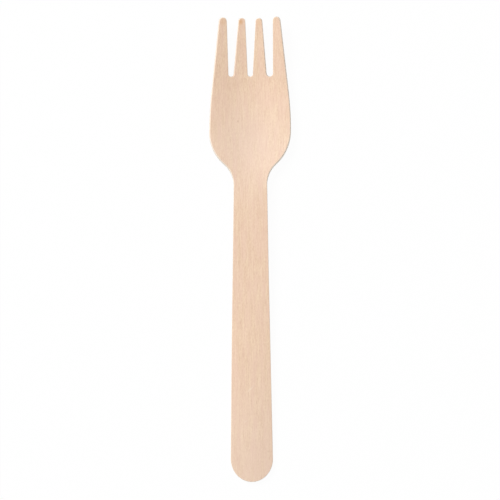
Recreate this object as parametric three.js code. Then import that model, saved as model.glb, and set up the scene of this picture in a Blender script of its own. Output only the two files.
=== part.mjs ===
// A disposable wooden fork. It is one piece of birch veneer: stamped to its outline, tumbled until
// its edges are round, and pressed, so that the head dips and is a shallow dish. The handle is flat
// near the neck and slightly crowned towards its end, where the wood has curled as it dried.
//
// The outline is drawn on a plan with x across the fork and y along it. y is 0 at the tips of the
// outer tines and negative towards the end of the handle. The sheet's middle surface is a height
// over that plan, and its two faces lie half a thickness from it, square to the surface.

import * as THREE from 'three';

// Driving dimensions, in millimetres and degrees

// The sheet
const LENGTH = 160;
const THICKNESS = 1.8;
const EDGE_ROUND = 0.2;

// The outline of the head and the handle
const HEAD_WIDTH = 27.95;
const WIDEST_FROM_TIPS = 39.3;
const SIDE_RADIUS = 123;
const SIDE_LEAN = 6.3;
const SHOULDER_RADIUS = 14.9;
const NECK_RADIUS = 9.5;
const NECK_WIDTH = 11.5;
const HANDLE_END_WIDTH = 14.4;
const HANDLE_END_DEPTH = 7.85;

// The tines and the slots between them. The widths are the middle slot's.
const TINE_LENGTH = 20.3;
const SLOT_ROOT_WIDTH = 1.82;
const SLOT_MOUTH_WIDTH = 3.78;
const OUTER_SLOT_EXTRA = 0.3;
const OUTER_TINE_EXTRA = 0.35;
const INNER_TINE_STEP = 0.3;
const INNER_TIP_DEPTH = 1.1;
const OUTER_TIP_DEPTH = 1.65;
const TIP_SQUARENESS = 2.4;

// The pressed form: the handle is level, then the sheet dips, and the bowl brings it up again
const BOWL_FROM_TIPS = 31;
const BOWL_RADIUS = 100;
const TINE_RISE_ANGLE = 5.9;
const DIP_ANGLE = 10.8;
const DIP_RUN = 2.8;
const BEND_RADIUS = 80;

// The dish across the head: a round trough between two even wings
const DISH_RADIUS = 38;
const WING_ANGLE = 9.5;
const DISH_FROM_TIPS = 65;
const DISH_RUNOUT = 17;

// The crown across the handle, which has its full curve from the run-in to the end
const CROWN_RADIUS = 70;
const CROWN_FROM_TIPS = 80;
const CROWN_RUNIN = 32;

// How finely the surface is divided
const EDGE_STEPS = 3;
const ROOT_STEPS = 5;
const FLANK_STEPS = 8;
const TIP_STEPS = 5;
const HANDLE_END_STEPS = 9;
const HANDLE_ROW = 6;
const HEAD_ROW = 1.3;
const COLUMNS_PER_TINE = 3;

// How often the resting angle is worked out from the points that the last one made lowest
const REST_PASSES = 8;

const QUARTER_TURN = Math.PI / 2;
const sideLean = THREE.MathUtils.degToRad(SIDE_LEAN);
const dipAngle = THREE.MathUtils.degToRad(DIP_ANGLE);
const tineRiseAngle = THREE.MathUtils.degToRad(TINE_RISE_ANGLE);
const wingAngle = THREE.MathUtils.degToRad(WING_ANGLE);

// Plan stations of the outline. From the widest point, a shoulder arc runs down to the hollow arc
// of the neck and the two meet where both have turned through shoulderTurn.
const widestY = -WIDEST_FROM_TIPS;
const sideTopY = widestY + SIDE_RADIUS * Math.sin(sideLean);
const shoulderDrop = (HEAD_WIDTH - NECK_WIDTH) / 2;
const shoulderTurn = Math.acos(1 - shoulderDrop / (SHOULDER_RADIUS + NECK_RADIUS));
const shoulderEndY = widestY - SHOULDER_RADIUS * Math.sin(shoulderTurn);
const neckY = shoulderEndY - NECK_RADIUS * Math.sin(shoulderTurn);
const handleEndY = -LENGTH + HANDLE_END_DEPTH;

// The handle's straight side touches the neck's arc and reaches the handle's full width at its end.
const neckCentreX = NECK_WIDTH / 2 + NECK_RADIUS;
const toNeckCentre = new THREE.Vector2(neckCentreX - HANDLE_END_WIDTH / 2, neckY - handleEndY);
const handleTaper = Math.asin(NECK_RADIUS / toNeckCentre.length())
  - Math.atan2(toNeckCentre.x, toNeckCentre.y);
const handleTopY = neckY - NECK_RADIUS * Math.sin(handleTaper);

// Half the width of the outline at y, with the slots and the rounded ends left out.
function halfWidth(y) {
  if (y > sideTopY) {
    const topWidth = HEAD_WIDTH / 2 - SIDE_RADIUS * (1 - Math.cos(sideLean));
    return topWidth - (y - sideTopY) * Math.tan(sideLean);
  }
  if (y > widestY) {
    return HEAD_WIDTH / 2 - SIDE_RADIUS + Math.sqrt(SIDE_RADIUS ** 2 - (y - widestY) ** 2);
  }
  if (y > shoulderEndY) {
    return HEAD_WIDTH / 2 - SHOULDER_RADIUS + Math.sqrt(SHOULDER_RADIUS ** 2 - (y - widestY) ** 2);
  }
  if (y > handleTopY) {
    return neckCentreX - Math.sqrt(NECK_RADIUS ** 2 - (y - neckY) ** 2);
  }
  return HANDLE_END_WIDTH / 2 - (y - handleEndY) * Math.tan(handleTaper);
}

// A slot has a round root and two straight flanks that touch the root's circle. slot is -1, 0 or 1
// from left to right. All three slots end at the same y.
const slotBottomY = -TINE_LENGTH;

function slotRootRadius(slot) {
  return (SLOT_ROOT_WIDTH + Math.abs(slot) * OUTER_SLOT_EXTRA) / 2;
}

// The middle of an outer slot. Half the head holds half the middle slot, an inner tine, the outer
// slot and the outer tine, and the two tines share what the slots leave.
function outerSlotX(y, middleSlotWidth, outerTineExtra) {
  const outerSlotWidth = middleSlotWidth + OUTER_SLOT_EXTRA;
  const bothTines = halfWidth(y) - middleSlotWidth / 2 - outerSlotWidth;
  const innerTine = (bothTines - outerTineExtra) / 2;
  return middleSlotWidth / 2 + innerTine + outerSlotWidth / 2;
}

// The x of one flank of a slot at y. side is -1 for the slot's left flank and 1 for its right one.
function slotFlank(slot, side, y) {
  const rootRadius = slotRootRadius(slot);
  const rootCentreY = slotBottomY + rootRadius;
  const mouthWidth = SLOT_MOUTH_WIDTH + Math.abs(slot) * OUTER_SLOT_EXTRA;
  const rootX = slot * outerSlotX(rootCentreY, SLOT_ROOT_WIDTH, 0);
  const mouthX = slot * outerSlotX(0, SLOT_MOUTH_WIDTH, OUTER_TINE_EXTRA) + side * mouthWidth / 2;
  const toRoot = new THREE.Vector2(rootX - mouthX, -rootCentreY);
  const touchAngle = Math.asin(rootRadius / toRoot.length());
  const lean = Math.atan2(toRoot.x, toRoot.y) + side * touchAngle;
  const touchY = -toRoot.length() * Math.cos(touchAngle) * Math.cos(lean);
  if (y > touchY) {
    return mouthX - y * Math.tan(lean);
  }
  return rootX + side * Math.sqrt(Math.max(rootRadius ** 2 - (y - rootCentreY) ** 2, 0));
}

// The tips of the tines. The inner ones stop a little short of the outer ones and are less round.
const innerTip = { y: -INNER_TINE_STEP, depth: INNER_TIP_DEPTH };
const outerTip = { y: 0, depth: OUTER_TIP_DEPTH };

// The tines from left to right, each between two flanks
const tineShapes = [
  { leftX: (y) => -halfWidth(y), rightX: (y) => slotFlank(-1, -1, y), tip: outerTip },
  { leftX: (y) => slotFlank(-1, 1, y), rightX: (y) => slotFlank(0, -1, y), tip: innerTip },
  { leftX: (y) => slotFlank(0, 1, y), rightX: (y) => slotFlank(1, -1, y), tip: innerTip },
  { leftX: (y) => slotFlank(1, 1, y), rightX: (y) => halfWidth(y), tip: outerTip },
];

// Rows of a tine. Each has a y and a factor that narrows it, from 1 down to 0 at the tip.
function tineRows(tip) {
  const rootDepth = slotRootRadius(1);
  const tipStartY = tip.y - tip.depth;
  const rows = [];
  for (let step = 0; step < ROOT_STEPS; step += 1) {
    const turn = QUARTER_TURN * step / ROOT_STEPS;
    rows.push({ y: slotBottomY + rootDepth * (1 - Math.cos(turn)), narrowing: 1 });
  }
  for (let step = 0; step < FLANK_STEPS; step += 1) {
    const y = THREE.MathUtils.lerp(slotBottomY + rootDepth, tipStartY, step / FLANK_STEPS);
    rows.push({ y, narrowing: 1 });
  }
  for (let step = 0; step <= TIP_STEPS; step += 1) {
    const turn = QUARTER_TURN * step / TIP_STEPS;
    const y = tipStartY + tip.depth * Math.sin(turn) ** (2 / TIP_SQUARENESS);
    rows.push({ y, narrowing: Math.max(Math.cos(turn), 0) ** (2 / TIP_SQUARENESS) });
  }
  return rows;
}

// The pressed form along the fork, as plan stations and as a height over the bowl's lowest point
const bowlY = -BOWL_FROM_TIPS;
const bowlStartY = bowlY - BOWL_RADIUS * Math.sin(dipAngle);
const bowlEndY = bowlY + BOWL_RADIUS * Math.sin(tineRiseAngle);
const dipStartY = bowlStartY - DIP_RUN;
const bendStartY = dipStartY - BEND_RADIUS * Math.sin(dipAngle);
const handleHeight = (BOWL_RADIUS + BEND_RADIUS) * (1 - Math.cos(dipAngle))
  + DIP_RUN * Math.tan(dipAngle);

function arcHeight(radius, offset) {
  return radius - Math.sqrt(radius ** 2 - offset ** 2);
}

function lengthwiseHeight(y) {
  if (y > bowlEndY) {
    return arcHeight(BOWL_RADIUS, bowlEndY - bowlY) + (y - bowlEndY) * Math.tan(tineRiseAngle);
  }
  if (y > bowlStartY) {
    return arcHeight(BOWL_RADIUS, y - bowlY);
  }
  if (y > dipStartY) {
    return arcHeight(BOWL_RADIUS, bowlStartY - bowlY) + (bowlStartY - y) * Math.tan(dipAngle);
  }
  if (y > bendStartY) {
    return handleHeight - arcHeight(BEND_RADIUS, y - bendStartY);
  }
  return handleHeight;
}

// The pressed form across the fork. The dish runs out at the neck, and the crown, whose middle is
// higher than its sides, comes in along the handle.
const troughX = DISH_RADIUS * Math.sin(wingAngle);
const dishEndY = -DISH_FROM_TIPS;
const crownStartY = -CROWN_FROM_TIPS;
const crownFullY = crownStartY - CROWN_RUNIN;

function dishHeight(x) {
  const inTrough = Math.min(Math.abs(x), troughX);
  return arcHeight(DISH_RADIUS, inTrough) + (Math.abs(x) - inTrough) * Math.tan(wingAngle);
}

function sheetHeight(x, y) {
  const dish = THREE.MathUtils.smoothstep(y, dishEndY, dishEndY + DISH_RUNOUT);
  const crown = 1 - THREE.MathUtils.smoothstep(y, crownFullY, crownStartY);
  return lengthwiseHeight(y) + dish * dishHeight(x) - crown * arcHeight(CROWN_RADIUS, x);
}

// A point at a distance over (or, if negative, under) the middle surface, measured square to it
function sheetPoint(x, y, distance) {
  const reach = 0.01;
  const slopeX = (sheetHeight(x + reach, y) - sheetHeight(x - reach, y)) / (2 * reach);
  const slopeY = (sheetHeight(x, y + reach) - sheetHeight(x, y - reach)) / (2 * reach);
  const square = new THREE.Vector3(-slopeX, -slopeY, 1).normalize();
  return new THREE.Vector3(x, y, sheetHeight(x, y)).addScaledVector(square, distance);
}

// Rows of the body, from the round end of the handle to the bottoms of the slots
function bodyRows() {
  const rows = [];
  for (let step = 0; step < HANDLE_END_STEPS; step += 1) {
    const turn = QUARTER_TURN * step / HANDLE_END_STEPS;
    rows.push({ y: handleEndY - HANDLE_END_DEPTH * Math.cos(turn), narrowing: Math.sin(turn) });
  }
  const between = [crownFullY, crownStartY, bendStartY, handleTopY, shoulderEndY, widestY, sideTopY];
  const stations = [handleEndY, ...between.sort((a, b) => a - b), slotBottomY];
  for (let index = 1; index < stations.length; index += 1) {
    const rowLength = stations[index] > bendStartY ? HEAD_ROW : HANDLE_ROW;
    const steps = Math.ceil((stations[index] - stations[index - 1]) / rowLength);
    for (let step = 0; step < steps; step += 1) {
      const y = THREE.MathUtils.lerp(stations[index - 1], stations[index], step / steps);
      rows.push({ y, narrowing: 1 });
    }
  }
  rows.push({ y: slotBottomY, narrowing: 1 });
  return rows;
}

// The outline is one closed ring of plan points, anticlockwise as seen from above. It starts at the
// end of the handle, runs up the right side, in and out of the slots, and down the left side. The
// body and each tine keep the ring numbers of their left and right points, row by row.
function drawOutline() {
  const ring = [];
  const addPoint = (x, y) => ring.push(new THREE.Vector2(x, y)) - 1;

  const rows = bodyRows();
  const body = { left: [], right: [] };
  for (const { y, narrowing } of rows) {
    body.right.push(addPoint(halfWidth(Math.max(y, handleEndY)) * narrowing, y));
  }

  const tines = [];
  let rootPoint = body.right.at(-1);
  for (const shape of tineShapes.toReversed()) {
    const left = [];
    const right = [rootPoint];
    const flankRows = tineRows(shape.tip);
    const flankPoint = (row, side) => {
      const { y, narrowing } = flankRows[row];
      const middleX = (shape.leftX(y) + shape.rightX(y)) / 2;
      const halfTine = (shape.rightX(y) - shape.leftX(y)) / 2;
      return addPoint(middleX + side * narrowing * halfTine, y);
    };
    for (let row = 1; row < flankRows.length; row += 1) {
      right.push(flankPoint(row, 1));
    }
    left[flankRows.length - 1] = right.at(-1);
    for (let row = flankRows.length - 2; row >= 0; row -= 1) {
      left[row] = flankPoint(row, -1);
    }
    rootPoint = left[0];
    tines.unshift({ left, right });
  }

  body.left[0] = body.right[0];
  body.left[rows.length - 1] = rootPoint;
  for (let row = rows.length - 2; row > 0; row -= 1) {
    const rightPoint = ring[body.right[row]];
    body.left[row] = addPoint(-rightPoint.x, rightPoint.y);
  }
  return { ring, body, tines };
}

// Unit normals of the ring in the plan, pointing out of the wood
function outwardNormals(ring) {
  return ring.map((point, index) => {
    const before = ring.at(index - 1);
    const after = ring[(index + 1) % ring.length];
    const inDirection = point.clone().sub(before).normalize();
    const outDirection = after.clone().sub(point).normalize();
    const along = inDirection.add(outDirection).normalize();
    return new THREE.Vector2(along.y, -along.x);
  });
}

// The section of the edge, from the upper face round to the lower face: how far each point lies
// inside the outline, and its distance from the middle surface
function edgeSection() {
  const upper = [];
  for (let step = 0; step <= EDGE_STEPS; step += 1) {
    const turn = QUARTER_TURN * step / EDGE_STEPS;
    upper.push({
      inset: EDGE_ROUND * (1 - Math.sin(turn)),
      distance: THICKNESS / 2 - EDGE_ROUND * (1 - Math.cos(turn)),
    });
  }
  const lower = upper.map(({ inset, distance }) => ({ inset, distance: -distance })).reverse();
  return [...upper, ...lower];
}

// The closed surface: the edge's section is carried round the outline, and each face is filled with
// rows of points between the left and the right side of the body and of every tine.
function forkGeometry() {
  const { ring, body, tines } = drawOutline();
  const normals = outwardNormals(ring);
  const positions = [];
  const triangles = [];

  const addVertex = (x, y, distance) => {
    const point = sheetPoint(x, y, distance);
    positions.push(point.x, point.y, point.z);
    return positions.length / 3 - 1;
  };
  const addTriangle = (a, b, c) => {
    if (a !== b && b !== c && c !== a) {
      triangles.push(a, b, c);
    }
  };
  const addQuad = (a, b, c, d) => {
    addTriangle(a, b, c);
    addTriangle(a, c, d);
  };

  const edge = edgeSection().map(({ inset, distance }) => ring.map((point, index) => {
    const inside = point.clone().addScaledVector(normals[index], -inset);
    return addVertex(inside.x, inside.y, distance);
  }));
  for (let step = 1; step < edge.length; step += 1) {
    for (let index = 0; index < ring.length; index += 1) {
      const next = (index + 1) % ring.length;
      addQuad(edge[step - 1][index], edge[step][index], edge[step][next], edge[step - 1][next]);
    }
  }

  // One row of a face: vertices from ring point left to ring point right, at the given fractions
  const innerRing = ring.map((point, index) => {
    return point.clone().addScaledVector(normals[index], -EDGE_ROUND);
  });
  const faceRow = (rim, distance, left, right, fractions) => fractions.map((fraction) => {
    if (left === right || fraction === 0) {
      return rim[left];
    }
    if (fraction === 1) {
      return rim[right];
    }
    const point = innerRing[left].clone().lerp(innerRing[right], fraction);
    return addVertex(point.x, point.y, distance);
  });

  const fillRows = (rows, isUpper) => {
    for (let row = 1; row < rows.length; row += 1) {
      for (let column = 1; column < rows[row].length; column += 1) {
        const corners = [
          rows[row - 1][column - 1],
          rows[row - 1][column],
          rows[row][column],
          rows[row][column - 1],
        ];
        addQuad(...(isUpper ? corners : corners.reverse()));
      }
    }
  };

  // The body's columns start at the tines' own columns and keep their share of the width.
  const tineFractions = [];
  for (let column = 0; column <= COLUMNS_PER_TINE; column += 1) {
    tineFractions.push(column / COLUMNS_PER_TINE);
  }
  const leftX = innerRing[tines[0].left[0]].x;
  const rightX = innerRing[tines.at(-1).right[0]].x;
  const bodyFractions = [0];
  for (const tine of tines) {
    const from = (innerRing[tine.left[0]].x - leftX) / (rightX - leftX);
    const to = (innerRing[tine.right[0]].x - leftX) / (rightX - leftX);
    const columns = tineFractions.slice(1);
    bodyFractions.push(...columns.map((fraction) => THREE.MathUtils.lerp(from, to, fraction)));
  }

  for (const isUpper of [true, false]) {
    const rim = isUpper ? edge[0] : edge.at(-1);
    const distance = isUpper ? THICKNESS / 2 : -THICKNESS / 2;
    const rootRow = [rim[tines[0].left[0]]];
    for (const tine of tines) {
      const rows = tine.left.map((left, row) => {
        return faceRow(rim, distance, left, tine.right[row], tineFractions);
      });
      fillRows(rows, isUpper);
      rootRow.push(...rows[0].slice(1));
    }
    const rowsBelow = body.left.slice(0, -1).map((left, row) => {
      return faceRow(rim, distance, left, body.right[row], bodyFractions);
    });
    fillRows([...rowsBelow, rootRow], isUpper);
  }

  const geometry = new THREE.BufferGeometry();
  geometry.setAttribute('position', new THREE.Float32BufferAttribute(positions, 3));
  geometry.setIndex(triangles);
  geometry.computeVertexNormals();
  return geometry;
}

// The lowest point of the head half or of the handle half, once the fork is turned by an angle
// about the x axis
function lowestPoint(positions, angle, ofHead) {
  let lowest = { height: Infinity };
  for (let index = 0; index < positions.count; index += 1) {
    const y = positions.getY(index);
    const z = positions.getZ(index);
    const height = y * Math.sin(angle) + z * Math.cos(angle);
    if (y > -LENGTH / 2 === ofHead && height < lowest.height) {
      lowest = { y, z, height };
    }
  }
  return lowest;
}

// Laid on a table, the fork touches it under both sides of the handle's end and under the bowl. This
// is the angle that brings those lowest points level.
function restAngle(positions) {
  let angle = 0;
  for (let pass = 0; pass < REST_PASSES; pass += 1) {
    const head = lowestPoint(positions, angle, true);
    const handle = lowestPoint(positions, angle, false);
    angle = Math.atan2(handle.z - head.z, head.y - handle.y);
  }
  return angle;
}

function makeFork() {
  const birch = new THREE.MeshStandardMaterial({ color: '#eed0b8', roughness: 0.6, metalness: 0 });
  const fork = new THREE.Mesh(forkGeometry(), birch);
  fork.name = 'fork';
  fork.rotation.x = restAngle(fork.geometry.getAttribute('position'));
  const box = new THREE.Box3().setFromObject(fork, true);
  fork.position.set(0, -(box.min.y + box.max.y) / 2, -box.min.z);
  return fork;
}

const disposableFork = new THREE.Group();
disposableFork.add(makeFork());

export default disposableFork;
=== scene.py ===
import math

import bpy
import numpy as np
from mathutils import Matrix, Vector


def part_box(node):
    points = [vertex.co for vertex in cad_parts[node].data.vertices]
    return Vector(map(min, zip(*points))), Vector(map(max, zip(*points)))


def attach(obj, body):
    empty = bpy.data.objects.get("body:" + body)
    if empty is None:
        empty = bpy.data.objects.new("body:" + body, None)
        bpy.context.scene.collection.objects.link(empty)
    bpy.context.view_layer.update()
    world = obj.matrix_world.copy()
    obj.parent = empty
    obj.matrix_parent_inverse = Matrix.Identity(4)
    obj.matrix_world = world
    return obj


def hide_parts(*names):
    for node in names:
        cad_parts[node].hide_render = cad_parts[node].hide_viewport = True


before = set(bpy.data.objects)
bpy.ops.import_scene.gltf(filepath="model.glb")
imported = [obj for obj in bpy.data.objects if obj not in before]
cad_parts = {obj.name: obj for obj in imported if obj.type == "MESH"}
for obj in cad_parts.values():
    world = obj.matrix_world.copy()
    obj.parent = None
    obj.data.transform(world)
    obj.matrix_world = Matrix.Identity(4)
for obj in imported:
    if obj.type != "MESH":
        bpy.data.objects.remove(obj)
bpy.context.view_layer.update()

bl_info = {
    "name": "Disposable wooden fork",
    "version": (1, 0, 0),
    "blender": (4, 5, 0),
    "location": "3D View > Sidebar > Fork",
    "description": "Makes a pressed birch veneer fork and the plain stage that it lies on",
    "category": "Object",
}

FORK_LOW, FORK_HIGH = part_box("fork")
FORK_LENGTH = float(FORK_HIGH[1] - FORK_LOW[1])

MM = 0.001
QUARTER_TURN = math.pi / 2
WHITE = (1.0, 1.0, 1.0, 1.0)

# The step over which a slope of the sheet is measured, and how often the resting angle is worked out
SHORT_STEP = 0.01 * MM
REST_PASSES = 8

# How finely the surface is divided: steps of half a slot's root, of its flank, of half a tip and of
# half the handle's end, rows of the body past that end, steps of an edge's quarter circle and of the
# side wall, and columns across a tine
ROOT_STEPS = 12
FLANK_STEPS = 40
TIP_STEPS = 12
END_STEPS = 24
BODY_ROWS = 200
ROUND_STEPS = 8
WALL_STEPS = 5
TINE_COLUMNS = 16

# The tines from left to right: what bounds each one on its left and on its right, a slot by its
# number or the side of the head, and how far its tip falls short of the line of the tips
SIDE_OF_HEAD = None
TINES = (
    {"left_slot": SIDE_OF_HEAD, "right_slot": -1, "short_by": 0.07 * MM},
    {"left_slot": -1, "right_slot": 0, "short_by": 0.25 * MM},
    {"left_slot": 0, "right_slot": 1, "short_by": 0.32 * MM},
    {"left_slot": 1, "right_slot": SIDE_OF_HEAD, "short_by": -0.11 * MM},
)

# How far to the right of its even place the worn stamp cuts each slot, and how much wider than its
# proper width, at its mouth and at its root
SLOTS = {
    -1: {"mouth_off": 0.12 * MM, "root_off": 0.15 * MM, "mouth_wider": 0.2 * MM, "root_wider": -0.11 * MM},
    0: {"mouth_off": 0.29 * MM, "root_off": 0.07 * MM, "mouth_wider": -0.03 * MM, "root_wider": -0.02 * MM},
    1: {"mouth_off": 0.16 * MM, "root_off": 0.11 * MM, "mouth_wider": -0.21 * MM, "root_wider": 0.28 * MM},
}

# Slow waves by which the dried sheet strays from its mould: the lengths across and along the fork
# over which each turns by one radian, and the angle that it starts at. A negative length slants a
# wave the other way, and an infinite one leaves it straight across.
WAVES = (
    {"across": 4.1 * MM, "along": 23 * MM, "start": 0},
    {"across": -9 * MM, "along": 6.7 * MM, "start": 1.3},
    {"across": math.inf, "along": 15 * MM, "start": 2.1},
)

# Layers of the grain: the cell of each noise across, along and through the sheet in millimetres,
# where it starts, how detailed and rough it is, and its strength in the wood's tone
GRAIN = {
    "figure": {"cell": (5.5, 90, 2), "start": (0, 0, 0), "detail": 2, "roughness": 0.5, "strength": 0.5},
    "streaks": {"cell": (0.7, 26, 0.5), "start": (3, 1, 0), "detail": 3, "roughness": 0.6, "strength": 1.2},
    "hairs": {"cell": (0.3, 5.5, 0.3), "start": (0, 5, 2), "detail": 2, "roughness": 0.6, "strength": 2.0},
    "rays": {"cell": (0.32, 0.75, 0.3), "start": (4, 2, 9), "detail": 1, "roughness": 0.5, "strength": 1.5},
}

# The short dark pores, one a cell: the cells as above, the distances from a pore's middle, in cells,
# within which it is dark and past which it is gone, and how strongly it shows
PORES = {"cell": (0.45, 3.6, 0.45), "start": (2, 3, 1), "dark": 0.12, "gone": 0.3, "strength": 0.25}

# The rosy tinge: its cells as above, the band of the noise over which it comes in, and its full
# strength
TINGE = {"cell": (1.5, 9, 1.8), "start": (7, 2, 1), "band": (0.3, 0.7), "strength": 0.4}

# The band of the streaks' noise over which a side wall goes from one layer of the sheet to the next
LAYER_BAND = (0.3, 0.7)

# How high the hairs and the streaks stand and how deep the pores lie, as shares of the grain's
# depth, and how strongly that relief turns the light
RELIEF = {"hairs": 0.7, "streaks": 0.5, "pores": -0.6}
RELIEF_STRENGTH = 0.6

# Places where the wood is paler and greyer: the middle of each on the fork, its radius and its strength.
# The first lies on the bowl's slope that faces the lamp, where it is painted sheen; the second, at the
# handle's end, is the wood's own paler hue.
PALE_HUE_AND_SHEEN_PLACES = (
    ((0, 35 * MM), 26 * MM, 0.3),
    ((0, -80 * MM), 52 * MM, 0.25),
)

# Marks on the upper face: the middle of each on the fork, half its width and length, its turn and
# how strongly it shows
FLECKS = (
    {"at": (-4.2 * MM, 44.3 * MM), "half": (0.3 * MM, 0.6 * MM), "turn": 0, "strength": 0.45},
    {"at": (4.5 * MM, 44.3 * MM), "half": (0.25 * MM, 0.5 * MM), "turn": 0, "strength": 0.3},
    {"at": (5.9 * MM, -69.6 * MM), "half": (0.8 * MM, 0.5 * MM), "turn": 0, "strength": 0.15},
)
SCRATCHES = (
    {"at": (-0.3 * MM, -48.0 * MM), "half": (0.3 * MM, 2.5 * MM), "turn": -0.81, "strength": 0.45},
    {"at": (-2.0 * MM, -59.2 * MM), "half": (0.25 * MM, 1.2 * MM), "turn": -0.93, "strength": 0.3},
)
SCORCHES = (
    {"at": (-3.1 * MM, 78.3 * MM), "half": (1.3 * MM, 1.6 * MM), "turn": 0, "strength": 0.65},
    {"at": (-9.2 * MM, 78.2 * MM), "half": (1.3 * MM, 1.8 * MM), "turn": 0, "strength": 0.25},
    {"at": (3.0 * MM, 78.0 * MM), "half": (1.3 * MM, 2.2 * MM), "turn": 0, "strength": 0.25},
)


# Sizes, colours and looks that a user can change


def length(name, description, default):
    """A size in metres that the panel shows as a length"""
    return bpy.props.FloatProperty(
        name=name, description=description, default=default, precision=5, unit="LENGTH", subtype="DISTANCE"
    )


def angle(name, description, degrees):
    """An angle that the panel shows in degrees"""
    return bpy.props.FloatProperty(
        name=name, description=description, default=math.radians(degrees), unit="ROTATION", subtype="ANGLE"
    )


def amount(name, description, default):
    """A plain number, such as a share or a strength"""
    return bpy.props.FloatProperty(name=name, description=description, default=default)


def colour(name, description, red, green, blue):
    """A colour, given as the 0 to 255 values that a picture shows"""
    return bpy.props.FloatVectorProperty(
        name=name,
        description=description,
        default=[linear(value) for value in (red, green, blue)],
        min=0.0,
        max=1.0,
        subtype="COLOR",
    )


def linear(value):
    """The linear light of one colour value from 0 to 255, by the usual screen curve"""
    share = value / 255
    return share / 12.92 if share <= 0.04045 else ((share + 0.055) / 1.055) ** 2.4


class ForkShape(bpy.types.PropertyGroup):
    """Sizes of the fork: its outline, its tines and its pressed form"""

    sheet: length("Sheet", "Thickness of the veneer", 1.8 * MM)
    edge_round: length("Edge rounding", "Radius of the tumbled edges", 0.2 * MM)
    long: length("Length", "Tips of the outer tines to the end of the handle", FORK_LENGTH)
    head_width: length("Head width", "Width of the head where it is widest", 27.95 * MM)
    widest: length("Widest place", "Distance of the widest place from the tips", 39.3 * MM)
    side_radius: length("Side radius", "Radius of the head's side above the widest place", 123 * MM)
    side_lean: angle("Side lean", "Lean of the outer flanks of the outer tines", 6.3)
    shoulder_radius: length("Shoulder radius", "Radius below the widest place", 14.9 * MM)
    neck_radius: length("Neck radius", "Radius of the hollow between shoulder and neck", 9.5 * MM)
    neck_width: length("Neck width", "Width of the neck where it is narrowest", 11.5 * MM)
    end_width: length("Handle end width", "Width of the handle before its round end", 14.4 * MM)
    end_depth: length("Handle end depth", "Depth of the half ellipse that ends the handle", 7.85 * MM)
    tine_length: length("Tine length", "Outer tips to the bottoms of the slots", 20.3 * MM)
    slot_root: length("Slot root", "Width of the middle slot at its round root", 1.82 * MM)
    slot_mouth: length("Slot mouth", "Width of the middle slot at the tips", 3.78 * MM)
    outer_slot: length("Outer slot extra", "How much wider an outer slot is than the middle one", 0.3 * MM)
    outer_tine: length("Outer tine extra", "How much wider an outer tip is than an inner one", 0.35 * MM)
    inner_tip: length("Inner tip depth", "Length of the rounded end of an inner tine", 1.1 * MM)
    outer_tip: length("Outer tip depth", "Length of the rounded end of an outer tine", 1.65 * MM)
    tip_square: amount("Tip squareness", "Exponent of the tip's outline, 2 for an ellipse", 2.4)
    bowl: length("Bowl", "Distance of the bowl's lowest place from the tips", 31 * MM)
    bowl_radius: length("Bowl radius", "Radius of the bowl along the fork", 100 * MM)
    tine_rise: angle("Tine rise", "Rise of the tines over the handle's level", 5.9)
    dip: angle("Dip", "Slope from the handle down to the bowl", 10.8)
    dip_run: length("Dip run", "Length of that slope", 2.8 * MM)
    bend_radius: length("Bend radius", "Radius of the bend between handle and slope", 80 * MM)
    dish_radius: length("Dish radius", "Radius of the round trough across the head", 38 * MM)
    wing_angle: angle("Wing angle", "Slope of the even wings beside the trough", 9.5)
    dish_from: length("Dish end", "Distance from the tips where the dish has run out", 65 * MM)
    dish_runout: length("Dish run-out", "Length over which the dish runs out", 17 * MM)
    crown_radius: length("Crown radius", "Radius of the crown across the handle", 70 * MM)
    crown_from: length("Crown start", "Distance from the tips where the crown starts", 80 * MM)
    crown_runin: length("Crown run-in", "Length over which the crown gets its full curve", 32 * MM)
    unevenness: length("Unevenness", "How far the dried sheet strays from its mould", 0.03 * MM)
    bow: length("Bow", "How far the stamped outline bows, to the right at the head", 0.06 * MM)
    bow_spread: length("Bow spread", "Length along the fork of one radian of the bow", 22 * MM)
    lean: length("Shoulder lean", "How far the stamp sets the shoulders off to the left", 0.16 * MM)
    lean_at: length("Lean place", "Distance from the tips where the shoulders lean most", 46 * MM)
    lean_reach: length("Lean reach", "Distance over which the lean fades, either way", 8 * MM)


class WoodFinish(bpy.types.PropertyGroup):
    """Colours and surface of the bare birch, with the paler paint that stands in for light on its side
    walls
    """

    pale: colour("Pale wood", "Earlywood, the lighter of the two main tones", 247, 219, 190)
    tan: colour("Tan wood", "Latewood, the darker of the two main tones", 232, 199, 171)
    rosy: colour("Rosy wood", "Hue that part of the wood leans to", 240, 204, 186)
    # This paler hue is painted sheen on the bowl's slope that faces the lamp, and the wood's own hue at the
    # handle's end
    pale_hue_and_sheen: colour("Bleached wood", "Hue of the places that have faded", 228, 209, 196)
    fibre: colour("Fibre", "Dark fibres and pores", 200, 158, 128)
    # The rim colour is painted light: it is paler than the faces, so the side walls that face away from the
    # lamp and lie in its shade look lit
    rim: colour("Rim", "Wood of the stamped side walls along the grain", 246, 230, 212)
    # The share of the walls' colours, the painted light among them, over the wood
    wall_paint_share: amount("Bare share", "How much of its own colour a side wall has", 0.98)
    layering: amount("Layering", "How much of the faces' wood the layers of a side wall show", 0.3)
    # Painted fill light: the walls that face the handle's end are painted paler still, as if a light from
    # that side fell on them
    painted_fill: colour("Torn fibres", "Pale fibre ends of the walls that face the handle's end", 255, 245, 230)
    pressed: colour("Pressed fibres", "Fibre ends of the tips and the slots' roots", 226, 206, 188)
    scorch: colour("Scorch", "Wood browned by the hot mould", 222, 168, 112)
    fleck: colour("Fleck", "Pith fleck", 176, 128, 98)
    scratch: colour("Scratch", "Wood torn open by a scratch", 252, 235, 218)
    roughness: amount("Roughness", "Mean roughness of the sanded faces", 0.6)
    roughness_spread: amount("Roughness spread", "How far the hairs change the roughness", 0.3)
    edge_polish: amount("Edge polish", "How much less rough tumbling has left the edges", 0.08)
    gloss: amount("Gloss", "Specular level of the wood", 0.35)
    grain_depth: length("Grain depth", "Depth of the fibre relief", 0.03 * MM)


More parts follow.
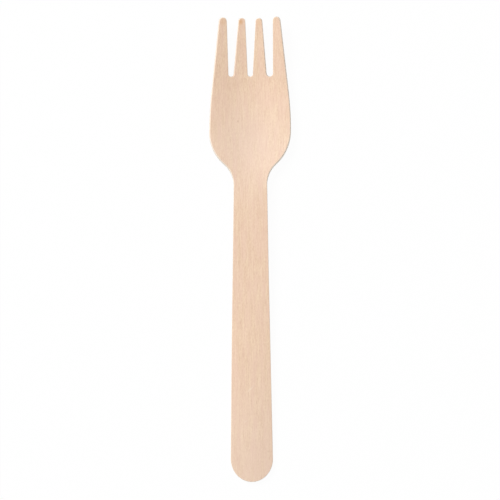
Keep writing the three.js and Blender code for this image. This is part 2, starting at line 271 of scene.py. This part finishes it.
class StageLook(bpy.types.PropertyGroup):
    """The floor, the lights and the camera"""

    floor_size: length("Floor size", "Side of the square floor", 6.0)
    floor_tone: amount("Floor tone", "How much of the light the floor gives back", 0.96)
    floor_shade: amount("Floor shade", "How much of the fork's shadow the camera sees", 0.035)
    key_share: amount("Key share", "Share of the light that comes from the lamp", 0.57)
    key_distance: length("Key distance", "Lamp to fork", 3.0)
    key_size: length("Key size", "Side of the square lamp", 1.3)
    key_side: angle("Key side", "Direction of the lamp, from the right of the picture", 135)
    key_height: angle("Key height", "Height of the lamp over the floor", 45)
    camera_height: length("Camera height", "Camera to floor", 0.9)
    nearest: length("Nearest", "How near the camera a thing still shows", 10 * MM)
    picture_side: length("Picture side", "Side of the square that the picture shows", 172.8 * MM)
    roll: angle("Roll", "Turn of the camera about its line of sight", -0.28)
    shift_x: length("Camera x", "Camera place across the fork", -0.25 * MM)
    shift_y: length("Camera y", "Camera place along the fork", -0.09 * MM)


# Outline of the fork


def half_width(y, shape):
    """Half the width of the outline at y, which is 0 at the tips and negative towards the handle.
    From the tips down it follows a straight line, the side's arc, the shoulder's arc and the neck's
    hollow arc, which touch one another, and the handle's straight side, which touches the neck's
    arc and reaches the handle's full width at its round end."""
    half_head = shape.head_width / 2
    widest_y = -shape.widest
    side_top_y = widest_y + shape.side_radius * math.sin(shape.side_lean)
    drop = half_head - shape.neck_width / 2
    turn = math.acos(1 - drop / (shape.shoulder_radius + shape.neck_radius))
    shoulder_end_y = widest_y - shape.shoulder_radius * math.sin(turn)
    neck_y = shoulder_end_y - shape.neck_radius * math.sin(turn)
    neck_centre_x = shape.neck_width / 2 + shape.neck_radius
    end_y = -shape.long + shape.end_depth
    across = neck_centre_x - shape.end_width / 2
    along = neck_y - end_y
    taper = math.asin(shape.neck_radius / math.hypot(across, along)) - math.atan2(across, along)
    handle_top_y = neck_y - shape.neck_radius * math.sin(taper)

    def arc(radius, centre_y):
        return np.sqrt(np.maximum(radius**2 - (y - centre_y) ** 2, 0))

    top_width = half_head - shape.side_radius * (1 - math.cos(shape.side_lean))
    return np.select(
        [y > side_top_y, y > widest_y, y > shoulder_end_y, y > handle_top_y],
        [
            top_width - (y - side_top_y) * math.tan(shape.side_lean),
            half_head - shape.side_radius + arc(shape.side_radius, widest_y),
            half_head - shape.shoulder_radius + arc(shape.shoulder_radius, widest_y),
            neck_centre_x - arc(shape.neck_radius, neck_y),
        ],
        shape.end_width / 2 - (y - end_y) * math.tan(taper),
    )


def middle_slot_width(place, shape):
    """Width that the middle slot should have at its mouth or root."""
    return {"mouth": shape.slot_mouth, "root": shape.slot_root}[place]


def slot_width(slot, place, shape):
    """Width of a slot at its mouth or root: the middle slot's, what an outer one is wider by, and
    the stamp's own fault."""
    proper_width = middle_slot_width(place, shape) + abs(slot) * shape.outer_slot
    return proper_width + SLOTS[slot][place + "_wider"]


def slot_middle(slot, place, y, shape):
    """Middle of a slot at its mouth or root. An outer slot stands past half the middle slot and an
    inner tine, which has half of what the slots leave of the half head, less the outer tine's extra."""
    middle_width = middle_slot_width(place, shape)
    outer_width = middle_width + shape.outer_slot
    tine_extra = {"mouth": shape.outer_tine, "root": 0}[place]
    both_tines = half_width(np.float64(y), shape) - middle_width / 2 - outer_width
    outer_x = middle_width / 2 + (both_tines - tine_extra) / 2 + outer_width / 2
    return slot * outer_x + SLOTS[slot][place + "_off"]


def slot_flank(slot, side, y, shape):
    """One flank of a slot at y: the circle of its round root, then the straight line that touches
    the circle and ends at the slot's mouth."""
    radius = slot_width(slot, "root", shape) / 2
    centre_y = -shape.tine_length + radius
    centre_x = slot_middle(slot, "root", centre_y, shape)
    mouth_x = slot_middle(slot, "mouth", 0, shape) + side * slot_width(slot, "mouth", shape) / 2
    reach = math.hypot(centre_x - mouth_x, centre_y)
    touch = math.asin(radius / reach)
    lean = math.atan2(centre_x - mouth_x, -centre_y) + side * touch
    touch_y = -reach * math.cos(touch) * math.cos(lean)
    root = centre_x + side * np.sqrt(np.maximum(radius**2 - (y - centre_y) ** 2, 0))
    return np.where(y > touch_y, mouth_x - y * math.tan(lean), root)


def tine_sides(tine, shape):
    """The left and right side of one tine, as arrays of plan points from the slots' bottoms to the
    tip. Steps are close round the quarter circles of the roots and round the tip, whose half width
    falls as a superellipse does."""
    root_depth = max(slot_width(slot, "root", shape) for slot in SLOTS) / 2
    bottom_y = -shape.tine_length
    is_outer = SIDE_OF_HEAD in (tine["left_slot"], tine["right_slot"])
    tip_depth = shape.outer_tip if is_outer else shape.inner_tip
    tip_start_y = -tine["short_by"] - tip_depth
    root_turn = np.linspace(0, QUARTER_TURN, ROOT_STEPS, endpoint=False)
    tip_turn = np.linspace(0, QUARTER_TURN, TIP_STEPS + 1)
    power = 2 / shape.tip_square
    y = np.concatenate([
        bottom_y + root_depth * (1 - np.cos(root_turn)),
        np.linspace(bottom_y + root_depth, tip_start_y, FLANK_STEPS, endpoint=False),
        tip_start_y + tip_depth * np.sin(tip_turn) ** power,
    ])
    narrowing = np.ones(len(y))
    narrowing[-len(tip_turn):] = np.maximum(np.cos(tip_turn), 0) ** power
    narrowing[-1] = 0
    if tine["left_slot"] is SIDE_OF_HEAD:
        left = -half_width(y, shape)
    else:
        left = slot_flank(tine["left_slot"], 1, y, shape)
    if tine["right_slot"] is SIDE_OF_HEAD:
        right = half_width(y, shape)
    else:
        right = slot_flank(tine["right_slot"], -1, y, shape)
    middle = (left + right) / 2
    half = (right - left) / 2 * narrowing
    return np.stack([middle - half, y], axis=1), np.stack([middle + half, y], axis=1)


def body_side(shape):
    """The right side of the handle and the head, from the end of the handle to the slots' bottoms:
    a quarter ellipse, then the outline."""
    end_y = -shape.long + shape.end_depth
    turn = np.linspace(0, QUARTER_TURN, END_STEPS, endpoint=False)
    y = np.concatenate([
        end_y - shape.end_depth * np.cos(turn),
        np.linspace(end_y, -shape.tine_length, BODY_ROWS),
    ])
    narrowing = np.ones(len(y))
    narrowing[:len(turn)] = np.sin(turn)
    return np.stack([half_width(np.maximum(y, end_y), shape) * narrowing, y], axis=1)


def draw_outline(shape):
    """One closed ring of plan points, anticlockwise from the end of the handle, and for the body
    and each tine the ring numbers of its left and right side, row by row. The outline bows by one
    slow cosine wave along the fork, and the shoulders lean to the left by a bell curve."""
    side = body_side(shape)
    last = len(side) - 1
    points = [side]
    count = len(side)
    root = last
    tines = []
    for tine in reversed(TINES):
        left, right = tine_sides(tine, shape)
        rows = len(left) - 1
        points += [right[1:], left[-2::-1]]
        right_ids = np.concatenate([[root], count + np.arange(rows)])
        left_ids = np.concatenate([count + rows + np.arange(rows)[::-1], right_ids[-1:]])
        count += 2 * rows
        root = left_ids[0]
        tines.insert(0, (left_ids, right_ids))
    points.append(side[-2:0:-1] * [-1, 1])
    body_left = np.concatenate([[0], count + np.arange(last - 1)[::-1], [root]])
    ring = np.concatenate(points)
    ring[:, 0] += shape.bow * np.cos((ring[:, 1] + shape.bowl) / shape.bow_spread)
    ring[:, 0] -= shape.lean * np.exp(-(((ring[:, 1] + shape.lean_at) / shape.lean_reach) ** 2))
    return ring, (body_left, np.arange(last + 1)), tines


def outward_normals(ring):
    """Plan normals of the ring: square to the mean of the directions before and after a point."""
    def unit(vectors):
        return vectors / np.linalg.norm(vectors, axis=1)[:, None]

    before = unit(ring - np.roll(ring, 1, axis=0))
    after = unit(np.roll(ring, -1, axis=0) - ring)
    along = unit(before + after)
    return np.stack([along[:, 1], -along[:, 0]], axis=1)


# Pressed form of the sheet


def smooth_step(value, low, high):
    """0 below low, 1 above high, and a smooth S between them."""
    share = np.clip((value - low) / (high - low), 0, 1)
    return share * share * (3 - 2 * share)


def sheet_height(x, y, shape):
    """Height of the middle surface over the bowl's lowest place. Along the fork it is the level
    handle, a bend, a slope, the bowl's arc and the straight rise of the tines. Across the head a
    round trough runs on into two even wings, and across the handle an arc falls to both sides. To
    this comes the mean of the slow waves."""
    def arc(radius, offset):
        return radius - np.sqrt(radius**2 - np.clip(offset, -radius, radius) ** 2)

    bowl_y = -shape.bowl
    bowl_start = bowl_y - shape.bowl_radius * math.sin(shape.dip)
    bowl_end = bowl_y + shape.bowl_radius * math.sin(shape.tine_rise)
    dip_start = bowl_start - shape.dip_run
    bend_start = dip_start - shape.bend_radius * math.sin(shape.dip)
    handle = (shape.bowl_radius + shape.bend_radius) * (1 - math.cos(shape.dip))
    handle += shape.dip_run * math.tan(shape.dip)
    lengthwise = np.select(
        [y > bowl_end, y > bowl_start, y > dip_start, y > bend_start],
        [
            arc(shape.bowl_radius, bowl_end - bowl_y) + (y - bowl_end) * math.tan(shape.tine_rise),
            arc(shape.bowl_radius, y - bowl_y),
            arc(shape.bowl_radius, bowl_start - bowl_y) + (bowl_start - y) * math.tan(shape.dip),
            handle - arc(shape.bend_radius, y - bend_start),
        ],
        handle,
    )
    in_trough = np.minimum(np.abs(x), shape.dish_radius * math.sin(shape.wing_angle))
    across = arc(shape.dish_radius, in_trough) + (np.abs(x) - in_trough) * math.tan(shape.wing_angle)
    dish = smooth_step(y, -shape.dish_from, shape.dish_runout - shape.dish_from)
    crown = smooth_step(-y, shape.crown_from, shape.crown_from + shape.crown_runin)
    waves = sum(np.sin(x / wave["across"] + y / wave["along"] + wave["start"]) for wave in WAVES)
    pressed = lengthwise + dish * across - crown * arc(shape.crown_radius, x)
    return pressed + shape.unevenness * waves / len(WAVES)


def sheet_points(plan, distance, shape):
    """Plan points lifted on to the sheet, a distance from its middle surface, square to it."""
    x, y = plan[..., 0], plan[..., 1]
    rise_x = sheet_height(x + SHORT_STEP, y, shape) - sheet_height(x - SHORT_STEP, y, shape)
    rise_y = sheet_height(x, y + SHORT_STEP, shape) - sheet_height(x, y - SHORT_STEP, shape)
    square = np.stack([-rise_x, -rise_y, np.full_like(x, 2 * SHORT_STEP)], axis=-1)
    square /= np.linalg.norm(square, axis=-1)[..., None]
    middle = np.stack([x, y, sheet_height(x, y, shape)], axis=-1)
    return middle + square * np.broadcast_to(distance, x.shape)[..., None]


def rest_angle(points, shape):
    """Angle about X that brings the lowest points of the head half and of the handle half level,
    worked out again from the points that the last angle made lowest."""
    y, z = points[:, 1], points[:, 2]
    of_head = y > -shape.long / 2
    turn = 0.0
    for _ in range(REST_PASSES):
        height = y * math.sin(turn) + z * math.cos(turn)
        head = np.where(of_head, height, np.inf).argmin()
        handle = np.where(of_head, np.inf, height).argmin()
        turn = math.atan2(z[handle] - z[head], y[head] - y[handle])
    return turn


def lay_down(points, shape):
    """Turns the fork about X to its resting angle and sets it where the construction stands."""
    turn = rest_angle(points, shape)
    y = points[:, 1] * math.cos(turn) - points[:, 2] * math.sin(turn)
    z = points[:, 1] * math.sin(turn) + points[:, 2] * math.cos(turn)
    y += (FORK_LOW[1] + FORK_HIGH[1]) / 2 - (y.min() + y.max()) / 2
    z += FORK_LOW[2] - z.min()
    return np.stack([points[:, 0], y, z], axis=1)


# Surface of the fork


def grid_quads(ids):
    """Quads of a grid of vertex numbers, whose rows run up and whose columns run to the right."""
    corners = [ids[:-1, :-1], ids[:-1, 1:], ids[1:, 1:], ids[1:, :-1]]
    return np.stack(corners, axis=-1).reshape(-1, 4)


def edge_section(shape):
    """Section of the edge from the upper face round to the lower one: a quarter circle, the side
    wall and a quarter circle, as insets from the outline and distances from the middle surface."""
    turn = np.linspace(0, QUARTER_TURN, ROUND_STEPS + 1)
    inset = shape.edge_round * (1 - np.sin(turn))
    distance = shape.sheet / 2 - shape.edge_round * (1 - np.cos(turn))
    wall = np.linspace(distance[-1], -distance[-1], WALL_STEPS + 1)[1:-1]
    return (
        np.concatenate([inset, np.zeros(len(wall)), inset[::-1]]),
        np.concatenate([distance, wall, -distance[::-1]]),
    )


def rim_values(normals, inset, distance, shape):
    """Four values for each point of the edge's section round the outline. The edge value runs from 0 on the
    faces to 1 on the side wall, which takes the rim's painted light. The painted-fill value is 1 where that
    wall cuts the fibres and faces the handle's end, where a paler paint stands in for fill light, the
    pressed value where it faces the tips, and the upper value falls from 1 on the upper face to 0 on the
    lower one."""
    count = (len(inset), len(normals))
    edge = np.broadcast_to(1 - (inset / shape.edge_round)[:, None], count)
    painted_fill = edge * np.maximum(-normals[:, 1], 0)[None]
    pressed = edge * np.maximum(normals[:, 1], 0)[None]
    upper = np.broadcast_to((distance / shape.sheet + 0.5)[:, None], count)
    return np.stack([edge, painted_fill, pressed, upper], axis=-1).reshape(-1, 4)


def body_columns(inner, tines, even):
    """Places of the body's columns as shares of its width. They carry on the columns of the tines,
    so that both meet point to point at the slots' bottoms."""
    left_x = inner[tines[0][0][0], 0]
    right_x = inner[tines[-1][1][0], 0]
    shares = [[0.0]]
    for left_ids, right_ids in tines:
        low = (inner[left_ids[0], 0] - left_x) / (right_x - left_x)
        high = (inner[right_ids[0], 0] - left_x) / (right_x - left_x)
        shares.append(low + (high - low) * even[1:])
    return np.concatenate(shares)


def fork_surface(shape):
    """Vertices, quads and four values a vertex of the closed fork. The edge's section is carried
    round the outline, and each face is filled with rows of points between the left and the right
    side of the body and of every tine."""
    ring, body, tines = draw_outline(shape)
    normals = outward_normals(ring)
    inset, distance = edge_section(shape)
    rim_plan = ring[None] - normals[None] * inset[:, None, None]
    blocks = [sheet_points(rim_plan, distance[:, None], shape).reshape(-1, 3)]
    values = [rim_values(normals, inset, distance, shape)]
    rim_ids = np.arange(len(inset) * len(ring)).reshape(len(inset), len(ring))
    closed = np.concatenate([rim_ids, rim_ids[:, :1]], axis=1)
    quads = [grid_quads(closed[::-1])]

    inner = ring - normals * shape.edge_round
    even = np.linspace(0, 1, TINE_COLUMNS + 1)
    shares = body_columns(inner, tines, even)

    def add_face(left_ids, right_ids, fractions, rim, height):
        plan = inner[left_ids][:, None] * (1 - fractions[None, :, None])
        plan = plan + inner[right_ids][:, None] * fractions[None, :, None]
        start = sum(len(block) for block in blocks)
        lifted = sheet_points(plan, height, shape).reshape(-1, 3)
        blocks.append(lifted)
        values.append(np.tile([0, 0, 0, height / shape.sheet + 0.5], (len(lifted), 1)))
        ids = start + np.arange(len(lifted)).reshape(plan.shape[:2])
        ids[:, 0] = rim[left_ids]
        ids[:, -1] = rim[right_ids]
        pinched = left_ids == right_ids
        ids[pinched] = rim[left_ids[pinched]][:, None]
        return ids

    for rim, height, order in ((rim_ids[0], shape.sheet / 2, 1), (rim_ids[-1], -shape.sheet / 2, -1)):
        root_row = [[rim[tines[0][0][0]]]]
        for left_ids, right_ids in tines:
            ids = add_face(left_ids, right_ids, even, rim, height)
            quads.append(grid_quads(ids)[:, ::order])
            root_row.append(ids[0, 1:])
        ids = add_face(body[0][:-1], body[1][:-1], shares, rim, height)
        ids = np.concatenate([ids, np.concatenate(root_row)[None]])
        quads.append(grid_quads(ids)[:, ::order])

    used, numbers = np.unique(np.concatenate(quads), return_inverse=True)
    points = lay_down(np.concatenate(blocks), shape)[used]
    return points, numbers.reshape(-1, 4), np.concatenate(values)[used]


def mesh_faces(quads):
    """The quads as lists, with the pinched ones at the tips and the handle's end as triangles."""
    pinched = (quads == np.roll(quads, -1, axis=1)).any(axis=1)
    faces = quads[~pinched].tolist()
    for quad in quads[pinched].tolist():
        corners = list(dict.fromkeys(quad))
        if len(corners) == 3:
            faces.append(corners)
    return faces


# Materials


class NodeTree:
    """Adds nodes to a material or world and fills their inputs with values or other nodes' outputs"""

    # A mix node has sockets of the same names for each kind of data. These are the colours' ones.
    MIX_FACTOR = 0
    MIX_FIRST = 6
    MIX_SECOND = 7
    MIX_RESULT = 2

    def __init__(self, owner):
        owner.use_nodes = True
        self.tree = owner.node_tree
        self.tree.nodes.clear()

    def add(self, kind, inputs=None, output=0, **settings):
        """A new node's output, given by its number or name, or the node itself if it has none"""
        node = self.tree.nodes.new(kind)
        for name, value in settings.items():
            setattr(node, name, value)
        for key, value in (inputs or {}).items():
            if isinstance(value, bpy.types.NodeSocket):
                self.tree.links.new(value, node.inputs[key])
            else:
                node.inputs[key].default_value = value
        return node.outputs[output] if node.outputs else node

    def math(self, operation, first, second, third=0.0):
        """The result of one step of arithmetic, of which some take a third number"""
        inputs = {0: first, 1: second, 2: third}
        return self.add("ShaderNodeMath", inputs, operation=operation)

    def ramp(self, value, low, high, bottom, top):
        """A number that goes smoothly from bottom to top while value goes from low to high"""
        inputs = {"Value": value, "From Min": low, "From Max": high, "To Min": bottom, "To Max": top}
        return self.add("ShaderNodeMapRange", inputs, interpolation_type="SMOOTHSTEP")

    def mix(self, factor, first, second):
        """The first colour turned into the second by a factor from 0 to 1"""
        inputs = {self.MIX_FACTOR: factor, self.MIX_FIRST: first, self.MIX_SECOND: second}
        return self.add("ShaderNodeMix", inputs, output=self.MIX_RESULT, data_type="RGBA")

    def stretched(self, coordinates, pattern):
        """Coordinates that count a pattern's cells, whose sizes are in millimetres, from its start"""
        scale = [1 / (size * MM) for size in pattern["cell"]]
        inputs = {"Vector": coordinates, "Location": pattern["start"], "Scale": scale}
        return self.add("ShaderNodeMapping", inputs)

    def attribute(self, name):
        """A value that the mesh holds at its points"""
        return self.add("ShaderNodeAttribute", output="Fac", attribute_name=name, attribute_type="GEOMETRY")

    def oval(self, coordinates, middle, half, turn=0.0):
        """1 in the middle of an oval place on the fork, falling smoothly to 0 at its rim"""
        inputs = {
            "Vector": coordinates,
            "Location": (*middle, 0),
            "Rotation": (0, 0, turn),
            "Scale": (*half, 1),
        }
        inside = self.add("ShaderNodeMapping", inputs, vector_type="TEXTURE")
        reach = self.add("ShaderNodeVectorMath", {"Vector": inside}, output="Value", operation="LENGTH")
        return self.ramp(reach, 0.0, 1.0, 1.0, 0.0)

    def noise(self, vector, detail=2.0, roughness=0.5):
        """Smooth noise with one swell a cell, from 0 to 1"""
        inputs = {"Vector": vector, "Scale": 1.0, "Detail": detail, "Roughness": roughness}
        return self.add("ShaderNodeTexNoise", inputs)


def rgba(value):
    """A colour with its opacity"""
    return (*value, 1.0)


def grain_layers(nodes, place):
    """The noise of each layer of the grain, and the pores as 1 in their middles and 0 around them"""
    layers = {}
    for name, layer in GRAIN.items():
        cells = nodes.stretched(place, layer)
        layers[name] = nodes.noise(cells, layer["detail"], layer["roughness"])
    cells = nodes.stretched(place, PORES)
    from_pore = nodes.add("ShaderNodeTexVoronoi", {"Vector": cells, "Scale": 1.0})
    layers["pores"] = nodes.ramp(from_pore, PORES["dark"], PORES["gone"], 1.0, 0.0)
    return layers


def clean_wood(nodes, place, layers, finish):
    """Colour of the clean wood: the grain, whose mean lies halfway between pale and tan, then the pores,
    the rosy tinge and the paler places, of which the one on the bowl's lit slope is painted sheen and the
    one at the handle's end is the wood's own hue"""
    tone = (1 - sum(layer["strength"] for layer in GRAIN.values())) / 2
    for name, layer in GRAIN.items():
        tone = nodes.math("MULTIPLY_ADD", layers[name], layer["strength"], tone)
    wood = nodes.mix(tone, rgba(finish.pale), rgba(finish.tan))
    dark = nodes.math("MULTIPLY", layers["pores"], PORES["strength"])
    wood = nodes.mix(dark, wood, rgba(finish.fibre))
    tinge = nodes.noise(nodes.stretched(place, TINGE))
    rosy = nodes.ramp(tinge, *TINGE["band"], 0.0, TINGE["strength"])
    wood = nodes.mix(rosy, wood, rgba(finish.rosy))
    # Paler, greyer places: painted sheen on the bowl's slope that faces the lamp, and the wood's own hue at
    # the handle's end
    for middle, radius, strength in PALE_HUE_AND_SHEEN_PLACES:
        paled = nodes.oval(place, middle, (radius, radius))
        wood = nodes.mix(nodes.math("MULTIPLY", paled, strength), wood, rgba(finish.pale_hue_and_sheen))
    return wood


def marked_wood(nodes, place, wood, finish):
    """The wood with its flecks, scratches and scorches, which only the upper face has"""
    upper = nodes.attribute("upper")
    for marks, shade in ((FLECKS, finish.fleck), (SCRATCHES, finish.scratch), (SCORCHES, finish.scorch)):
        for mark in marks:
            shape = nodes.oval(place, mark["at"], mark["half"], mark["turn"])
            shown = nodes.math("MULTIPLY", nodes.math("MULTIPLY", shape, upper), mark["strength"])
            wood = nodes.mix(shown, wood, rgba(shade))
    return wood


def cut_wood(nodes, layers, wood, finish):
    """The wood with its side walls painted paler, as painted light on the walls that the lamp leaves in
    shade, the walls that face the handle's end paler still as painted fill light, and those that face the
    tips in a darker, greyer tan. The sheet's layers show through all of them.
    """
    layered = nodes.ramp(layers["streaks"], *LAYER_BAND, 1.0, 1 - finish.layering)
    # Each wall colour replaces the wood by its share: the rim's pale painted light on every wall, the paler
    # painted fill light on the walls that face the handle's end, and the pressed tan on those that face the
    # tips
    for name, shade in (("edge", finish.rim), ("painted_fill", finish.painted_fill), ("pressed", finish.pressed)):
        bare = nodes.math("MULTIPLY", nodes.attribute(name), finish.wall_paint_share)
        wood = nodes.mix(nodes.math("MULTIPLY", bare, layered), wood, rgba(shade))
    return wood


def fibre_relief(nodes, layers, finish):
    """Normals of the sanded fibres: the hairs and the streaks stand up, and the pores are sunk"""
    height = 0.0
    for name, share in RELIEF.items():
        height = nodes.math("MULTIPLY_ADD", layers[name], share, height)
    inputs = {"Height": height, "Strength": RELIEF_STRENGTH, "Distance": finish.grain_depth}
    return nodes.add("ShaderNodeBump", inputs)


def birch_material(finish):
    """Bare birch. Every pattern is a solid one, long along the fork and fine across and through it,
    so the faces show hairlines, the side walls layers and the ends cut fibres."""
    material = bpy.data.materials.new("birch_veneer")
    nodes = NodeTree(material)
    place = nodes.add("ShaderNodeTexCoord", output="Object")
    layers = grain_layers(nodes, place)
    wood = clean_wood(nodes, place, layers, finish)
    wood = marked_wood(nodes, place, wood, finish)
    wood = cut_wood(nodes, layers, wood, finish)
    smoothest = finish.roughness - finish.roughness_spread / 2
    roughness = nodes.math("MULTIPLY_ADD", layers["hairs"], finish.roughness_spread, smoothest)
    roughness = nodes.math("MULTIPLY_ADD", nodes.attribute("edge"), -finish.edge_polish, roughness)
    inputs = {
        "Base Color": wood,
        "Roughness": roughness,
        "Specular IOR Level": finish.gloss,
        "Normal": fibre_relief(nodes, layers, finish),
    }
    shader = nodes.add("ShaderNodeBsdfPrincipled", inputs)
    nodes.add("ShaderNodeOutputMaterial", {"Surface": shader})
    return material


def seen_rays(nodes):
    """1 for rays from the camera, and for those that mirrors and glass send on, otherwise 0"""
    path = nodes.tree.nodes.new("ShaderNodeLightPath")
    rays = nodes.math("MAXIMUM", path.outputs["Is Camera Ray"], path.outputs["Is Glossy Ray"])
    return nodes.math("MAXIMUM", rays, path.outputs["Is Transmission Ray"])


def floor_material(look):
    """A white matt floor. The camera sees it as plain white that still takes a soft shadow."""
    material = bpy.data.materials.new("floor_white")
    nodes = NodeTree(material)
    matt = nodes.add("ShaderNodeBsdfDiffuse", {"Color": rgba([look.floor_tone] * 3)})
    white = nodes.add("ShaderNodeEmission", {"Color": WHITE, "Strength": 1.0})
    cover = nodes.math("MULTIPLY", seen_rays(nodes), 1 - look.floor_shade)
    shader = nodes.add("ShaderNodeMixShader", {0: cover, 1: matt, 2: white})
    nodes.add("ShaderNodeOutputMaterial", {"Surface": shader})
    return material


# Fork, stage and panel


class FORK_OT_make_fork(bpy.types.Operator):
    """Makes the pressed birch fork in place of its plain solid"""

    bl_idname = "fork.make_fork"
    bl_label = "Make the fork"

    def execute(self, context):
        points, quads, values = fork_surface(context.scene.fork_shape)
        mesh = bpy.data.meshes.new("wooden_fork")
        mesh.from_pydata(points.tolist(), [], mesh_faces(quads))
        if mesh.validate():
            raise RuntimeError("the fork's surface has faults")
        # The points' values: the side wall, which takes the rim's painted light, the walls facing the
        # handle's end, which take the painted fill light, those facing the tips, and the upper face
        for column, name in enumerate(("edge", "painted_fill", "pressed", "upper")):
            attribute = mesh.attributes.new(name, "FLOAT", "POINT")
            attribute.data.foreach_set("value", values[:, column].astype(np.float32))
        mesh.shade_smooth()
        mesh.materials.append(birch_material(context.scene.wood_finish))
        fork = bpy.data.objects.new("wooden_fork", mesh)
        context.scene.collection.objects.link(fork)
        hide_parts("fork")
        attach(fork, "root")
        return {"FINISHED"}


class FORK_OT_make_stage(bpy.types.Operator):
    """Makes the floor, the soft light and the camera straight above the fork"""

    bl_idname = "fork.make_stage"
    bl_label = "Make the stage"

    def execute(self, context):
        look = context.scene.stage_look
        make_floor(context, look)
        make_light(context, look)
        make_camera(context, look)
        return {"FINISHED"}


def make_floor(context, look):
    """A square at the height that the fork rests on"""
    half = look.floor_size / 2
    low = float(FORK_LOW[2])
    mesh = bpy.data.meshes.new("floor")
    corners = [(-half, -half, low), (half, -half, low), (half, half, low), (-half, half, low)]
    mesh.from_pydata(corners, [], [(0, 1, 2, 3)])
    mesh.materials.append(floor_material(look))
    floor = bpy.data.objects.new("floor", mesh)
    context.scene.collection.objects.link(floor)


def make_light(context, look):
    """A square lamp and an even sky. A level white surface gets all its light from the two of them
    together: the lamp's power gives its share at its distance and slant."""
    world = bpy.data.worlds.new("sky")
    context.scene.world = world
    nodes = NodeTree(world)
    strength = nodes.math("MULTIPLY_ADD", seen_rays(nodes), look.key_share, 1 - look.key_share)
    sky = nodes.add("ShaderNodeBackground", {"Color": WHITE, "Strength": strength})
    nodes.add("ShaderNodeOutputWorld", {"Surface": sky})

    lamp = bpy.data.lights.new("key_lamp", "AREA")
    lamp.shape = "SQUARE"
    lamp.size = look.key_size
    slant = math.sin(look.key_height)
    lamp.energy = look.key_share * math.pi**2 * look.key_distance**2 / slant
    key = bpy.data.objects.new("key_lamp", lamp)
    level = math.cos(look.key_height)
    direction = (level * math.cos(look.key_side), level * math.sin(look.key_side), slant)
    key.location = [look.key_distance * part for part in direction]
    key.rotation_euler = (0, QUARTER_TURN - look.key_height, look.key_side)
    context.scene.collection.objects.link(key)


def make_camera(context, look):
    """A long lens straight above, whose picture is a square of the given side on the floor"""
    lens = bpy.data.cameras.new("camera")
    lens.lens = lens.sensor_width * look.camera_height / look.picture_side
    lens.clip_start = look.nearest
    camera = bpy.data.objects.new("camera", lens)
    camera.location = (look.shift_x, look.shift_y, look.camera_height)
    camera.rotation_euler = (0, 0, look.roll)
    context.scene.collection.objects.link(camera)
    context.scene.camera = camera
    context.scene.view_settings.view_transform = "Standard"


class FORK_PT_panel(bpy.types.Panel):
    """Lists the steps that make the fork and its stage, with their sizes and colours"""

    bl_label = "Disposable wooden fork"
    bl_idname = "FORK_PT_panel"
    bl_space_type = "VIEW_3D"
    bl_region_type = "UI"
    bl_category = "Fork"

    def draw(self, context):
        steps = (
            (FORK_OT_make_fork, (context.scene.fork_shape, context.scene.wood_finish)),
            (FORK_OT_make_stage, (context.scene.stage_look,)),
        )
        for step, groups in steps:
            box = self.layout.box()
            box.operator(step.bl_idname)
            for group in groups:
                for name in group.__annotations__:
                    box.prop(group, name)


CLASSES = (ForkShape, WoodFinish, StageLook, FORK_OT_make_fork, FORK_OT_make_stage, FORK_PT_panel)


def register():
    for item in CLASSES:
        bpy.utils.register_class(item)
    bpy.types.Scene.fork_shape = bpy.props.PointerProperty(type=ForkShape)
    bpy.types.Scene.wood_finish = bpy.props.PointerProperty(type=WoodFinish)
    bpy.types.Scene.stage_look = bpy.props.PointerProperty(type=StageLook)


def unregister():
    del bpy.types.Scene.stage_look
    del bpy.types.Scene.wood_finish
    del bpy.types.Scene.fork_shape
    for item in reversed(CLASSES):
        bpy.utils.unregister_class(item)


def main():
    """Makes the fork and its stage"""
    register()
    bpy.ops.fork.make_fork()
    bpy.ops.fork.make_stage()


if __name__ == "__main__":
    main()
